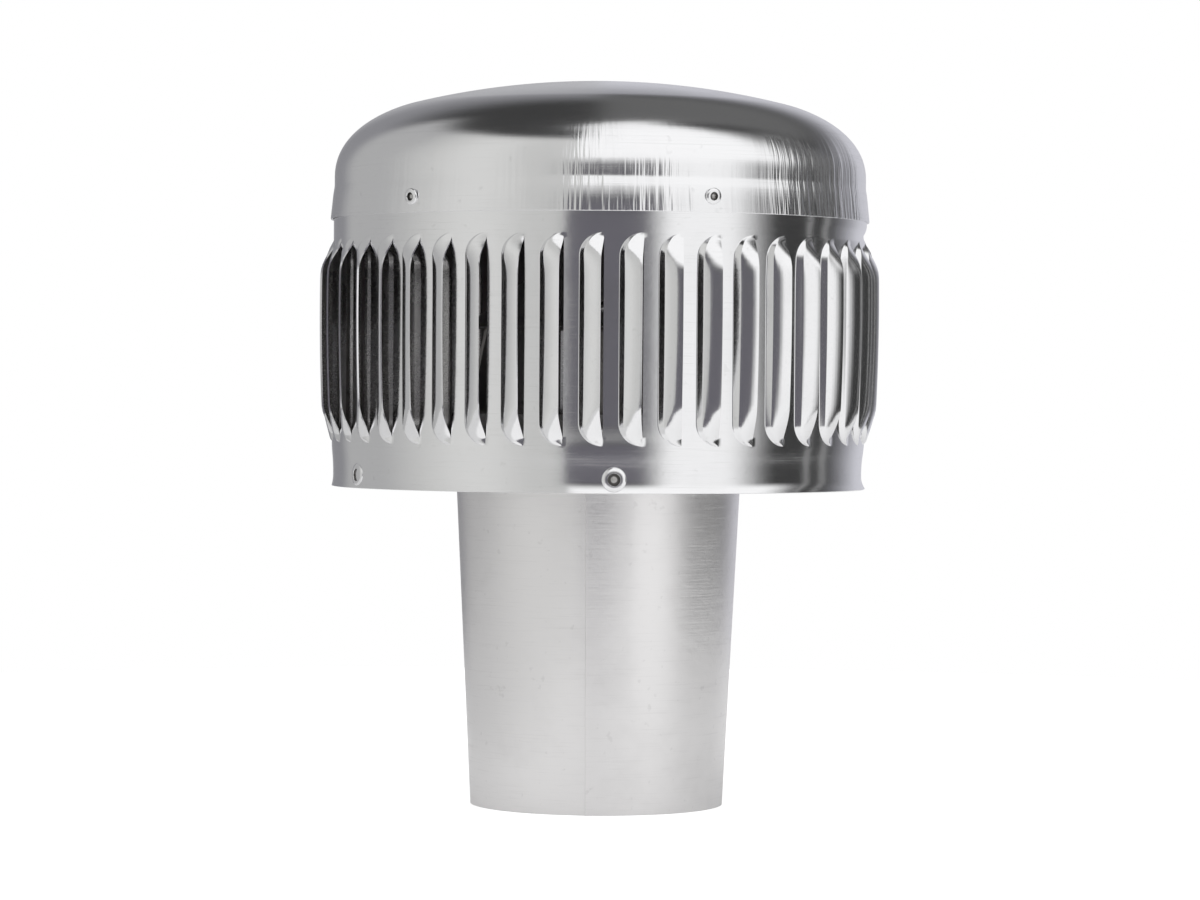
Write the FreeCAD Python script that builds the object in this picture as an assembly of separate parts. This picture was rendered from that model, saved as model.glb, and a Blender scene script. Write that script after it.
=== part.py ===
import FreeCAD, Part
import math
import os

V = FreeCAD.Vector

# A riveted sheet-aluminium cap for the top of a gas vent pipe.
# Millimetres, +Z up, origin at the centre of the collar's bottom rim.
# Angles round the cap start at the front (-Y) and grow towards +X.

# Turned sheets are drawn in flats whose corners lie on the round, and rivets in fewer
sheet_flat_count = 72
rivet_flat_count = 8

# Collar: a tapered sleeve that wedges into a pipe of 4 inch bore
collar_bottom_r = 48.5
collar_taper = 0.0492
collar_sheet = 0.6
collar_lap_arc = 15.0
collar_lap_angle = -5.0
collar_in_skirt = 28.0

# Skirt: a louvered drum round the top of the collar. Its strip stays flat at each louver
# and bends between them, so its radius is the distance from the axis to a flat.
skirt_r = 101.0
skirt_sheet = 0.6
skirt_bottom_z = 122.0
plain_foot_height = 17.4
plain_waist_height = 2.3
waist_flare_height = 4.8

# The skirt's seam: its inner ply lies behind a gap in the outer one
seam_lap_arc = 12.0
seam_lap_below_louvers = 5.4
seam_gap = 0.4
seam_gap_offset = 3.0

# Louvers: lances pushed out of the skirt, each open on the side of larger angle
louver_places = 44
louver_first_angle = 0.85
louver_blank_place = 21
louver_width = 9.0
louver_length = 77.3
louver_stand_off = 6.75
louver_pull_back = 1.5
louver_crest_height = 48.6
louver_arch_r = 330.0
louver_arch_flat_count = 3
louver_end_flat_count = 3
louver_root_depth = 0.35

# Dome: a spun cap with a joggled rim band round the top of the skirt
dome_r = 102.0
dome_sheet = 0.8
band_height = 8.7
joggle_height = 4.7
joggle_step = 1.4
dome_height = 40.0
crown_r = 297.0
crown_edge_r = 73.5
shoulder_pull = 7.5
wall_pull = 21.5
crown_flat_count = 3
shoulder_flat_count = 6

# Base pan: closes the drum below and carries the collar
pan_sheet = 0.8
pan_rise = 0.6
pan_outer_flange = 9.5
pan_inner_flange = 13.0

# Deflector: a cone over the collar's mouth, on three strap legs
cone_r = 52.0
cone_rim_height = 33.0
cone_slope = 38.0
cone_sheet = 0.6
leg_width = 14.0
leg_sheet = 1.2
leg_in_collar = 19.0
leg_bend_height = 1.0
leg_head_inset = 5.0
leg_head_length = 13.0
leg_angles = {"front": 0.0, "right": 120.0, "left": 240.0}

# Clearance between sheets that nest in one another
nest_gap = 0.12

# Blind rivets of two sizes: shank, head, and the tail set behind the sheets
small_rivet_r = 1.6
small_head_r = 3.05
small_head_height = 1.0
large_rivet_r = 2.4
large_head_r = 4.5
large_head_height = 1.3
head_edge_share = 0.35
head_crown_share = 0.55
hole_play = 0.05
tail_length = 2.4
pin_share = 0.5
pin_play = 0.04
pin_sunk = 0.35

# Rivet rows: the rim and base rows are spaced by whole louver places
row_rivets = 5
rivet_gap_places = 8
rim_rivet_angle = 23.35
rim_rivet_above_band = 5.8
base_rivet_angle = 3.2
base_rivet_above_foot = 4.9
seam_rivets = 3
seam_rivet_above_louvers = 10.6
seam_rivet_pitch = 28.0
collar_rivets = 3
collar_rivet_angle = 60.0
collar_rivet_above_foot = 8.0
leg_foot_rivet_below_mouth = 8.0

# Heights worked out from the ones above, from the collar's rim up
collar_top_z = skirt_bottom_z + collar_in_skirt
leg_bottom_z = collar_top_z - leg_in_collar
leg_bend_z = collar_top_z + leg_bend_height
leg_foot_rivet_z = collar_top_z - leg_foot_rivet_below_mouth
cone_rim_z = collar_top_z + cone_rim_height
pan_z = skirt_bottom_z + pan_rise
base_rivet_z = skirt_bottom_z + base_rivet_above_foot
collar_rivet_z = skirt_bottom_z + collar_rivet_above_foot
louver_low_z = skirt_bottom_z + plain_foot_height
louver_high_z = louver_low_z + louver_length
louver_crest_z = louver_low_z + louver_crest_height
seam_lap_bottom_z = louver_low_z - seam_lap_below_louvers
seam_rivet_low_z = louver_low_z + seam_rivet_above_louvers
skirt_waist_top_z = louver_high_z + plain_waist_height
band_bottom_z = skirt_waist_top_z + waist_flare_height
rim_rivet_z = band_bottom_z + rim_rivet_above_band
joggle_low_z = band_bottom_z + band_height
joggle_high_z = joggle_low_z + joggle_height
dome_apex_z = joggle_high_z + dome_height
skirt_top_z = joggle_low_z - nest_gap

# Angles, radii and slopes worked out from the ones above
full_turn = 360.0
louver_pitch = full_turn / louver_places
corner_ratio = 1 / math.cos(math.radians(louver_pitch / 2))
first_flat_angle = louver_first_angle - math.degrees(louver_width / skirt_r / 2)
seam_angle = first_flat_angle + louver_blank_place * louver_pitch
band_r = dome_r + joggle_step
band_bore_r = (band_r - dome_sheet) * math.cos(math.pi / sheet_flat_count)
skirt_top_r = (band_bore_r - nest_gap) / corner_ratio
pan_outer_r = skirt_r - skirt_sheet - nest_gap
pan_hole_r = collar_bottom_r + collar_taper * (pan_z + pan_inner_flange) + collar_sheet + nest_gap
cone_angle = math.radians(cone_slope)
cone_drop = cone_sheet / math.cos(cone_angle)
leg_head_r = cone_r - leg_head_inset


def turned(shape, angle):
    """A copy of a shape made at the front, turned round the cap's axis."""
    copy = shape.copy()
    copy.rotate(V(0, 0, 0), V(0, 0, 1), angle)
    return copy


def solid_of(corner_loops):
    """A solid whose flat faces have these loops of corners."""
    faces = [Part.Face(Part.makePolygon(loop + loop[:1])) for loop in corner_loops]
    return Part.Solid(Part.Shell(faces)).removeSplitter()


def ring(outline, side_count=sheet_flat_count):
    """A closed outline of corner radii and heights, carried round +Z in flats."""
    turn = math.radians(full_turn / side_count)
    loops = []
    for (r0, z0), (r1, z1) in zip(outline, outline[1:] + outline[:1]):
        for side in range(side_count):
            loop = []
            for r, corner_angle, z in [
                (r0, side * turn, z0),
                (r0, side * turn + turn, z0),
                (r1, side * turn + turn, z1),
                (r1, side * turn, z1),
            ]:
                corner = V(r * math.cos(corner_angle), r * math.sin(corner_angle), z)
                if corner not in loop:
                    loop.append(corner)
            if len(loop) > 2:
                loops.append(loop)
    return solid_of(loops)


def upright(corners, low_z, high_z):
    """A prism over corners given as x and y."""
    wire = Part.makePolygon([V(x, y, low_z) for x, y in corners + corners[:1]])
    return Part.Face(wire).extrude(V(0, 0, high_z - low_z))


def collar_r(z):
    """The collar's outer radius at a height."""
    return collar_bottom_r + collar_taper * z


def collar():
    """The tapered sleeve, with one end of its strip lapped over the other at the front."""
    sleeve = ring([
        (collar_r(0), 0),
        (collar_r(collar_top_z), collar_top_z),
        (collar_r(collar_top_z) - collar_sheet, collar_top_z),
        (collar_r(0) - collar_sheet, 0),
    ])

    # The lapping ply reaches half a sheet into the sleeve, so that the two join
    ply = ring([
        (collar_r(0) - collar_sheet / 2, 0),
        (collar_r(collar_top_z) - collar_sheet / 2, collar_top_z),
        (collar_r(collar_top_z) + collar_sheet, collar_top_z),
        (collar_r(0) + collar_sheet, 0),
    ])
    lap_sector = upright([
        (0, 0),
        (0, -skirt_r),
        (skirt_r * math.tan(collar_lap_arc / collar_r(0)), -skirt_r),
    ], 0, collar_top_z)
    sleeve = sleeve.fuse(ply.common(turned(lap_sector, collar_lap_angle)))
    for rivet in collar_rivet_places() + leg_foot_places():
        sleeve = sleeve.cut(rivet.hole())
    return sleeve.removeSplitter()


def louver_body(inset):
    """
    A filled louver on the flat at the front, or with an inset the hollow under its sheet.

    A sloped blade stands on the straight root, and its ends close in flats that fan round
    from the root to the slit. An arch of flats crowns the lip, and a tilted plane through
    the slit draws the lip back towards the root.
    """
    slit_x = louver_width / 2
    slope = math.atan2(louver_stand_off, louver_width - louver_pull_back)
    apex_y = skirt_r + louver_width * math.tan(slope) - inset / math.cos(slope)
    floor_y = skirt_r - inset - louver_root_depth
    reach = (apex_y - floor_y) / math.tan(slope)
    low_pivot = V(slit_x, -floor_y, louver_low_z + louver_width)
    high_pivot = V(slit_x, -floor_y, louver_high_z - louver_width)
    rise_way = V(0, floor_y - apex_y, 0)

    fan_step = math.pi / 2 / louver_end_flat_count
    fan = [step * fan_step for step in range(louver_end_flat_count + 1)]
    low_rim = [low_pivot + V(-math.sin(a), 0, -math.cos(a)) * reach for a in fan]
    high_rim = [high_pivot + V(-math.sin(a), 0, math.cos(a)) * reach for a in fan]
    low_apex = low_pivot + rise_way
    high_apex = high_pivot + rise_way
    loops = [low_rim + high_rim[::-1]]
    loops.append([low_rim[0], low_apex, high_apex, high_rim[0]])
    loops.append([low_rim[-1], high_rim[-1], high_apex, low_apex])
    for step in range(louver_end_flat_count):
        loops.append([low_rim[step], low_rim[step + 1], low_apex])
        loops.append([high_rim[step], high_rim[step + 1], high_apex])
    body = solid_of(loops)

    # Both cutting prisms stand clear of the body by more than its width
    clear = 2 * louver_width
    lip_y = skirt_r + louver_stand_off
    arch_r = louver_arch_r - inset
    arch = []
    for step in range(louver_arch_flat_count + 1):
        z = louver_low_z + louver_length * step / louver_arch_flat_count
        drop = arch_r - math.sqrt(arch_r ** 2 - (z - louver_crest_z) ** 2)
        arch.append(V(-clear, drop - lip_y + inset, z))
    under = [V(-clear, 0, louver_high_z), V(-clear, 0, louver_low_z)]
    crown = Part.Face(Part.makePolygon(arch + under + arch[:1])).extrude(V(2 * clear, 0, 0))

    slit_side = upright([
        (slit_x, -floor_y),
        (slit_x, -skirt_r),
        (slit_x - 2 * louver_pull_back, -skirt_r - 2 * louver_stand_off),
        (-clear, -skirt_r - 2 * louver_stand_off),
        (-clear, -floor_y),
    ], louver_low_z, louver_high_z)
    return body.common(crown).common(slit_side)


def skirt():
    """The louvered drum, lapped at the back on the one flat without a louver."""
    inner_r = skirt_r - skirt_sheet
    outline = [
        (inner_r, skirt_bottom_z),
        (skirt_r, skirt_bottom_z),
        (skirt_r, skirt_waist_top_z),
        (skirt_top_r, band_bottom_z),
        (skirt_top_r, skirt_top_z),
        (skirt_top_r - skirt_sheet, skirt_top_z),
        (skirt_top_r - skirt_sheet, band_bottom_z),
        (inner_r, skirt_waist_top_z),
    ]
    drum = ring([(r * corner_ratio, z) for r, z in outline], louver_places)
    drum = turned(drum, first_flat_angle - louver_pitch / 2 - full_turn / 4)
    angles = []
    for place in range(louver_places):
        if place != louver_blank_place:
            angles.append(first_flat_angle + place * louver_pitch)
    filled = louver_body(0.0)
    hollow = louver_body(skirt_sheet)
    drum = drum.fuse([turned(filled, angle) for angle in angles])
    drum = drum.cut([turned(hollow, angle) for angle in angles])

    ply_edge = seam_lap_arc / 2
    ply = upright([
        (-ply_edge, -inner_r),
        (ply_edge, -inner_r),
        (ply_edge, -inner_r + skirt_sheet),
        (-ply_edge, -inner_r + skirt_sheet),
    ], seam_lap_bottom_z, skirt_waist_top_z)
    gap = upright([
        (seam_gap_offset, -inner_r),
        (seam_gap_offset, -band_r),
        (seam_gap_offset + seam_gap, -band_r),
        (seam_gap_offset + seam_gap, -inner_r),
    ], 0, dome_apex_z)
    drum = drum.cut(turned(gap, seam_angle)).fuse(turned(ply, seam_angle))
    for rivet in rim_rivet_places() + base_rivet_places() + seam_rivet_places():
        drum = drum.cut(rivet.hole())
    return drum


def dome():
    """The spun cap: a shallow crown, a round shoulder, a joggle and the rim band."""

    def skin(inset):
        """The meridian from apex to band, drawn in by the inset, in chords of its curves."""
        radius = crown_r - inset
        centre_z = dome_apex_z - crown_r
        edge_angle = math.asin(crown_edge_r / crown_r)
        points = []
        for step in range(crown_flat_count):
            angle = edge_angle * step / crown_flat_count
            points.append((radius * math.sin(angle), centre_z + radius * math.cos(angle)))
        edge = V(radius * math.sin(edge_angle), 0, centre_z + radius * math.cos(edge_angle))
        wall = V(dome_r - inset, 0, joggle_high_z)
        shoulder = Part.BezierCurve()
        shoulder.setPoles([
            edge,
            edge + V(math.cos(edge_angle), 0, -math.sin(edge_angle)) * shoulder_pull,
            wall + V(0, 0, wall_pull),
            wall,
        ])
        for point in shoulder.discretize(shoulder_flat_count + 1):
            points.append((point.x, point.z))
        points.append((band_r - inset, joggle_low_z))
        points.append((band_r - inset, band_bottom_z))
        return points

    cap = ring(skin(0.0) + skin(dome_sheet)[::-1])
    for rivet in rim_rivet_places():
        cap = cap.cut(rivet.hole())
    return cap


def base_pan():
    """A pressed ring with an upturned flange at the drum and another round the collar."""
    outer_top = pan_z + pan_outer_flange
    inner_top = pan_z + pan_inner_flange
    pan = ring([
        (pan_outer_r, pan_z),
        (pan_outer_r, outer_top),
        (pan_outer_r - pan_sheet, outer_top),
        (pan_outer_r - pan_sheet, pan_z + pan_sheet),
        (pan_hole_r + pan_sheet, pan_z + pan_sheet),
        (pan_hole_r + pan_sheet, inner_top),
        (pan_hole_r, inner_top),
        (pan_hole_r, pan_z),
    ])
    for rivet in base_rivet_places() + collar_rivet_places():
        pan = pan.cut(rivet.hole())
    return pan


def cone_z(r):
    """The height of the cone's upper side at a radius."""
    return cone_rim_z + (cone_r - r) * math.tan(cone_angle)


def cone_deflector():
    """A cone of sheet over the collar's mouth, cut level at its rim."""
    cone = ring([
        (cone_r, cone_rim_z),
        (0, cone_z(0)),
        (0, cone_z(0) - cone_drop),
        (cone_r - cone_drop / math.tan(cone_angle), cone_rim_z),
    ])
    for rivet in leg_head_places():
        cone = cone.cut(rivet.hole())
    return cone


def wall_gap(radius):
    """How far a strap as wide as a leg stays from a round wall in flats, at its middle."""
    inner_r = radius * math.cos(math.pi / sheet_flat_count)
    return radius - math.sqrt(inner_r ** 2 - leg_width ** 2 / 4) + nest_gap


def leg_head_gap():
    """How far the head of a leg stays from the cone's underside."""
    sag = wall_gap(leg_head_r / math.sin(cone_angle)) - nest_gap
    return sag * math.cos(cone_angle) + nest_gap


def strip_outline(path, sheet):
    """A bent strip in the Y-Z plane: one side's points, then the other's one sheet away."""
    ways = [(end - start).normalize() for start, end in zip(path, path[1:])]
    ways = ways[:1] + ways + ways[-1:]
    other = []
    for point, before, after in zip(path, ways, ways[1:]):
        away = before.cross(V(1, 0, 0))
        mitre = (away + after.cross(V(1, 0, 0))).normalize()
        other.append(point + mitre * (sheet / mitre.dot(away)))
    return path + other[::-1]


def leg(angle):
    """A strap bent from the collar's inner wall up to the underside of the cone."""
    wall_y = -collar_r(0) + collar_sheet + wall_gap(collar_r(0) - collar_sheet)
    foot = V(0, wall_y - collar_taper * leg_bottom_z, leg_bottom_z)
    bend = V(0, wall_y - collar_taper * leg_bend_z, leg_bend_z)
    away = V(0, math.sin(cone_angle), -math.cos(cone_angle))
    head = V(0, -leg_head_r, cone_z(leg_head_r) - cone_drop) + away * leg_head_gap()
    tip = head + V(0, math.cos(cone_angle), math.sin(cone_angle)) * leg_head_length
    outline = strip_outline([foot, bend, head, tip], leg_sheet)
    face = Part.Face(Part.makePolygon(outline + outline[:1]))
    face.translate(V(-leg_width / 2, 0, 0))
    strap = turned(face.extrude(V(leg_width, 0, 0)), angle)
    for rivet in leg_foot_places() + leg_head_places():
        strap = strap.cut(rivet.hole())
    return strap


class Rivet:
    """A set blind rivet with its head seated at a point and its shank running inward."""

    def __init__(self, seat, outward, angle, grip, large=False):
        self.seat = seat
        self.outward = outward
        self.angle = angle
        self.end = -grip - tail_length
        self.shank_r = large_rivet_r if large else small_rivet_r
        self.head_r = large_head_r if large else small_head_r
        self.head_height = large_head_height if large else small_head_height

    def placed(self, shape):
        """A shape made along +Z at the origin, moved to the rivet's seat."""
        tilt = math.degrees(math.atan2(-self.outward.y, self.outward.z))
        shape.rotate(V(0, 0, 0), V(1, 0, 0), tilt)
        shape.translate(self.seat)
        return turned(shape, self.angle)

    def rod(self, radius, top):
        """A rod round the rivet's axis, from the end of its tail up to a height."""
        outline = [(0, top), (radius, top), (radius, self.end), (0, self.end)]
        return self.placed(ring(outline, rivet_flat_count))

    def hole(self):
        """The hole through the sheets that the rivet joins."""
        return self.rod(self.shank_r + hole_play, self.head_height)

    def pin(self):
        """The broken-off pin left in the rivet."""
        return self.rod(self.shank_r * pin_share, self.head_height - pin_sunk)

    def body(self):
        """The head and shank, with the bore that holds the pin."""
        bore_r = self.shank_r * pin_share + pin_play
        outline = [
            (bore_r, self.head_height),
            (self.head_r * head_crown_share, self.head_height),
            (self.head_r, self.head_height * head_edge_share),
            (self.head_r, 0),
            (self.shank_r, 0),
            (self.shank_r, self.end),
            (bore_r, self.end),
        ]
        return self.placed(ring(outline, rivet_flat_count))


def row_angles(first_angle):
    """The angles of a row round the front, from its first rivet towards -X."""
    return [first_angle - step * rivet_gap_places * louver_pitch for step in range(row_rivets)]


def rim_rivet_places():
    """Through the rim band and the top of the skirt."""
    seat = V(0, -band_r, rim_rivet_z)
    grip = band_r - skirt_top_r + skirt_sheet
    return [Rivet(seat, V(0, -1, 0), angle, grip) for angle in row_angles(rim_rivet_angle)]


def base_rivet_places():
    """Through the skirt and the pan's outer flange."""
    seat = V(0, -skirt_r * corner_ratio, base_rivet_z)
    grip = skirt_r * corner_ratio - pan_outer_r + pan_sheet
    angles = row_angles(base_rivet_angle)
    return [Rivet(seat, V(0, -1, 0), angle, grip, large=True) for angle in angles]


def seam_rivet_places():
    """Through both plies of the skirt's seam."""
    heights = [seam_rivet_low_z + step * seam_rivet_pitch for step in range(seam_rivets)]
    return [Rivet(V(0, -skirt_r, z), V(0, -1, 0), seam_angle, 2 * skirt_sheet) for z in heights]


def collar_rivet_places():
    """Through the pan's inner flange and the collar."""
    seat = V(0, -pan_hole_r - pan_sheet, collar_rivet_z)
    grip = pan_hole_r + pan_sheet - collar_r(collar_rivet_z) + collar_sheet
    angles = [collar_rivet_angle + step * full_turn / collar_rivets for step in range(collar_rivets)]
    return [Rivet(seat, V(0, -1, 0), angle, grip) for angle in angles]


def leg_foot_places():
    """Through the collar and the foot of each leg."""
    tilt = math.atan(collar_taper)
    outward = V(0, -math.cos(tilt), -math.sin(tilt))
    seat_r = collar_r(leg_foot_rivet_z)
    places = []
    for angle in leg_angles.values():
        lapped = 0 <= angle - collar_lap_angle <= math.degrees(collar_lap_arc / seat_r)
        ply = collar_sheet if lapped else 0
        grip = collar_sheet + ply + wall_gap(collar_r(0)) + leg_sheet
        places.append(Rivet(V(0, -seat_r - ply, leg_foot_rivet_z), outward, angle, grip))
    return places


def leg_head_places():
    """Through the cone and the head of each leg."""
    outward = V(0, -math.sin(cone_angle), math.cos(cone_angle))
    seat_r = leg_head_r - leg_head_length * math.cos(cone_angle) / 2
    grip = cone_sheet + leg_head_gap() + leg_sheet
    seat = V(0, -seat_r, cone_z(seat_r))
    return [Rivet(seat, outward, angle, grip) for angle in leg_angles.values()]


rivet_rows = {
    "rim_rivets": rim_rivet_places(),
    "base_rivets": base_rivet_places(),
    "seam_rivets": seam_rivet_places(),
    "collar_rivets": collar_rivet_places(),
    "leg_foot_rivets": leg_foot_places(),
    "leg_head_rivets": leg_head_places(),
}

parts = {
    "collar": collar(),
    "louvered_skirt": skirt(),
    "dome_cap": dome(),
    "base_pan": base_pan(),
    "cone_deflector": cone_deflector(),
}
for side, angle in leg_angles.items():
    parts["leg_" + side] = leg(angle)
for name, places in rivet_rows.items():
    pin_name = name.replace("rivets", "rivet_pins")
    parts[name] = Part.makeCompound([rivet.body() for rivet in places])
    parts[pin_name] = Part.makeCompound([rivet.pin() for rivet in places])

os.makedirs("parts", exist_ok=True)
for name, shape in parts.items():
    shape.exportStep("parts/" + name + ".step")
    print(name, shape.isValid(), len(shape.Solids), round(shape.Volume, 1), shape.BoundBox)
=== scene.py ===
import logging
import math
from abc import ABC, abstractmethod
from dataclasses import dataclass
from enum import Enum
from typing import Callable, Optional, Sequence

import bmesh
import bpy
from mathutils import Matrix, Vector


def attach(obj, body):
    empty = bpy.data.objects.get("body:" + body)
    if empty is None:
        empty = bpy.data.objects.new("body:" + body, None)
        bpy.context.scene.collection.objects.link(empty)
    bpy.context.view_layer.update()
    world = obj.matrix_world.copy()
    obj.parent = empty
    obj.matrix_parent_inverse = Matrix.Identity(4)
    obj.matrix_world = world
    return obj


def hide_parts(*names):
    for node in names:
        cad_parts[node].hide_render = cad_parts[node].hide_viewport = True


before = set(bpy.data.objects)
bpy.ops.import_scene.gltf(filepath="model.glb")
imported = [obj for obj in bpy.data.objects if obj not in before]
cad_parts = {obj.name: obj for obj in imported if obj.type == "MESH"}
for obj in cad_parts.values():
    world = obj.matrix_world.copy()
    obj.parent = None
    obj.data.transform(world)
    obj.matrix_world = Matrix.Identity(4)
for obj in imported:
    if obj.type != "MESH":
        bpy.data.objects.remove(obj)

log = logging.getLogger("vent_cap")

MM = 0.001
FULL_TURN = 2 * math.pi
BODY = "root"
CORNERS_PER_METRE = 1e6
INNER_SIDE = 1
LOUVER_LINING = 2

Point = tuple[float, float]
Colour = tuple[float, float, float]
Swell = Callable[[float, float], float]
Socket = bpy.types.NodeSocket
Sockets = Sequence[Socket]


class Slot(Enum):
    """The names of the record's material slots."""

    COLLAR = "collar_sheet"
    SKIRT = "skirt_sheet"
    DOME = "dome_sheet"
    PAN = "pan_sheet"
    DEFLECTOR = "deflector_sheet"
    RIVET = "rivet_body"
    PIN = "rivet_pin"


class Lay(Enum):
    """Which way the fine lines of a sheet's grain run."""

    ROUND = "round"
    UPRIGHT = "upright"


# Curves and sheets


def at(radius: float, angle: float, height: float) -> Vector:
    """A point round the cap's axis.

    Args:
        radius: Distance from the axis.
        angle: Angle from the front, growing towards +X, in radians.
        height: Height above the collar's rim.

    Returns:
        The point in the cap's own frame.
    """
    return Vector((radius * math.sin(angle), -radius * math.cos(angle), height))


def clamped(share: float) -> float:
    """A share kept between 0 and 1."""
    return min(max(share, 0.0), 1.0)


def ease(value: float, low: float, high: float) -> float:
    """A smooth step from 0 at the low limit to 1 at the high one."""
    share = clamped((value - low) / (high - low))
    return share * share * (3 - 2 * share)


def hump(value: float, middle: float, reach: float) -> float:
    """A bell curve that is 1 at its middle."""
    return math.exp(-(((value - middle) / reach) ** 2))


def evenly(start: float, end: float, steps: int) -> list[float]:
    """Values spaced evenly from a start to an end, both among them."""
    return [start + (end - start) * step / steps for step in range(steps + 1)]


def even_angles(count: int, start: float = 0.0) -> list[float]:
    """Angles spaced evenly once round, from a start."""
    return [start + FULL_TURN * step / count for step in range(count)]


def bezier(poles: Sequence[Point], steps: int) -> list[Point]:
    """A cubic curve in the plane of radius and height.

    Args:
        poles: Its four poles.
        steps: The number of stretches that it is drawn with.

    Returns:
        The points along it, both ends among them.
    """
    points = []
    for t in evenly(0.0, 1.0, steps):
        weights = ((1 - t) ** 3, 3 * t * (1 - t) ** 2, 3 * t * t * (1 - t), t ** 3)
        radius = sum(weight * pole[0] for weight, pole in zip(weights, poles))
        height = sum(weight * pole[1] for weight, pole in zip(weights, poles))
        points.append((radius, height))
    return points


def bent(corners: Sequence[Point], bend: float, steps: int = 5) -> list[Point]:
    """A strip's section with every inner corner drawn as a bend.

    Args:
        corners: The corners of the section.
        bend: How far each bend reaches from its corner.
        steps: The number of stretches in a bend.

    Returns:
        The points along the section.
    """
    points = [corners[0]]
    for before, corner, after in zip(corners, corners[1:], corners[2:]):
        here = Vector(corner)
        start = here + (Vector(before) - here).normalized() * bend
        end = here + (Vector(after) - here).normalized() * bend
        for t in evenly(0.0, 1.0, steps):
            spot = start * (1 - t) ** 2 + here * 2 * t * (1 - t) + end * t * t
            points.append((spot.x, spot.y))
    points.append(corners[-1])
    return points


def sheet_section(skin: Sequence[Point], sheet: float) -> list[Point]:
    """A closed section through sheet of one thickness.

    Args:
        skin: The outer skin's points, from the top down.
        sheet: The thickness, taken off to the inner side.

    Returns:
        The skin's points, and then the inner side's back up.
    """
    inner = []
    last = len(skin) - 1
    for index, (radius, height) in enumerate(skin):
        r0, z0 = skin[max(index - 1, 0)]
        r1, z1 = skin[min(index + 1, last)]
        run = math.hypot(r1 - r0, z1 - z0)
        inner_radius = 0.0 if radius == 0 else radius + (z1 - z0) / run * sheet
        inner.append((inner_radius, height - (r1 - r0) / run * sheet))
    return list(skin) + inner[::-1]


def finished(name: str, shape: bmesh.types.BMesh) -> bpy.types.Mesh:
    """Turns a shape into a mesh and frees it.

    Args:
        name: The mesh's name.
        shape: The shape.

    Returns:
        The mesh.
    """
    mesh = bpy.data.meshes.new(name)
    shape.to_mesh(mesh)
    shape.free()
    return mesh


def turned(
    name: str,
    section: Sequence[Point],
    angles: Sequence[float],
    skin_points: int = 0,
    swell: Optional[Swell] = None,
) -> bpy.types.Mesh:
    """A closed section carried round the axis.

    Args:
        name: The mesh's name.
        section: Radii and heights of the closed section.
        angles: The angles at which it is drawn, once round.
        skin_points: How many of its points belong to the outer skin. The rest take the second
            material, unless this is 0.
        swell: How far the outer skin stands out at an angle and a height.

    Returns:
        The mesh.
    """
    shape = bmesh.new()
    rings = []
    for index, (radius, height) in enumerate(section):
        if radius == 0:
            rings.append([shape.verts.new((0, 0, height))] * len(angles))
            continue
        ring = []
        for angle in angles:
            lift = swell(angle, height) if swell and index < skin_points else 0.0
            ring.append(shape.verts.new(at(radius + lift, angle, height)))
        rings.append(ring)
    for index, (upper, lower) in enumerate(zip(rings, rings[1:] + rings[:1])):
        inner = skin_points and skin_points <= index < len(section) - 1
        for side in range(len(angles)):
            after = (side + 1) % len(angles)
            corners = list(dict.fromkeys([upper[side], lower[side], lower[after], upper[after]]))
            if len(corners) > 2:
                shape.faces.new(corners).material_index = INNER_SIDE if inner else 0
    bmesh.ops.recalc_face_normals(shape, faces=shape.faces)
    return finished(name, shape)


class SheetNet:
    """The outer skin of a pressed sheet, as shared corners and faces."""

    def __init__(self) -> None:
        """Starts with no corner and no face."""
        self.corners: list[Vector] = []
        self.faces: list[list[int]] = []
        self.linings: list[int] = []
        self.known: dict[tuple[int, ...], int] = {}

    def corner(self, point: Vector) -> int:
        """Finds the corner at a point, or makes one where there is none within a micrometre.

        Args:
            point: The point.

        Returns:
            The corner's number.
        """
        key = tuple(round(value * CORNERS_PER_METRE) for value in point)
        if key not in self.known:
            self.known[key] = len(self.corners)
            self.corners.append(point)
        return self.known[key]

    def fill(self, rows: Sequence[Sequence[Vector]], lining: int = INNER_SIDE) -> None:
        """Fills between rows of points that run the same way round.

        Args:
            rows: The rows from the lowest up, with as many points each.
            lining: The material slot of the inner side.
        """
        for lower, upper in zip(rows, rows[1:]):
            for index in range(len(lower) - 1):
                points = (lower[index], lower[index + 1], upper[index + 1], upper[index])
                face = list(dict.fromkeys(self.corner(point) for point in points))
                if len(face) > 2:
                    self.faces.append(face)
                    self.linings.append(lining)

    def thickened(self, name: str, sheet: float) -> bpy.types.Mesh:
        """The sheet as a closed mesh.

        Args:
            name: The mesh's name.
            sheet: The thickness, taken off to the inner side.

        Returns:
            The mesh, with both skins and all the cut edges.
        """
        shape = bmesh.new()
        outer = [shape.verts.new(point) for point in self.corners]
        for face in self.faces:
            shape.faces.new([outer[number] for number in face])
        shape.normal_update()
        inner = [shape.verts.new(corner.co - corner.normal * sheet) for corner in outer]
        cut_edges = [edge for edge in shape.edges if len(edge.link_faces) == 1]
        shape.verts.index_update()
        for edge in cut_edges:
            loop = edge.link_loops[0]
            start, end = loop.vert, loop.link_loop_next.vert
            shape.faces.new([end, start, inner[start.index], inner[end.index]])
        for face, lining in zip(self.faces, self.linings):
            shape.faces.new([inner[number] for number in reversed(face)]).material_index = lining
        return finished(name, shape)


def shown(name: str, data: bpy.types.ID) -> bpy.types.Object:
    """Puts a new object into the scene.

    Args:
        name: The object's name.
        data: Its mesh, lamp or camera.

    Returns:
        The object.
    """
    made = bpy.data.objects.new(name, data)
    bpy.context.scene.collection.objects.link(made)
    return made


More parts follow.
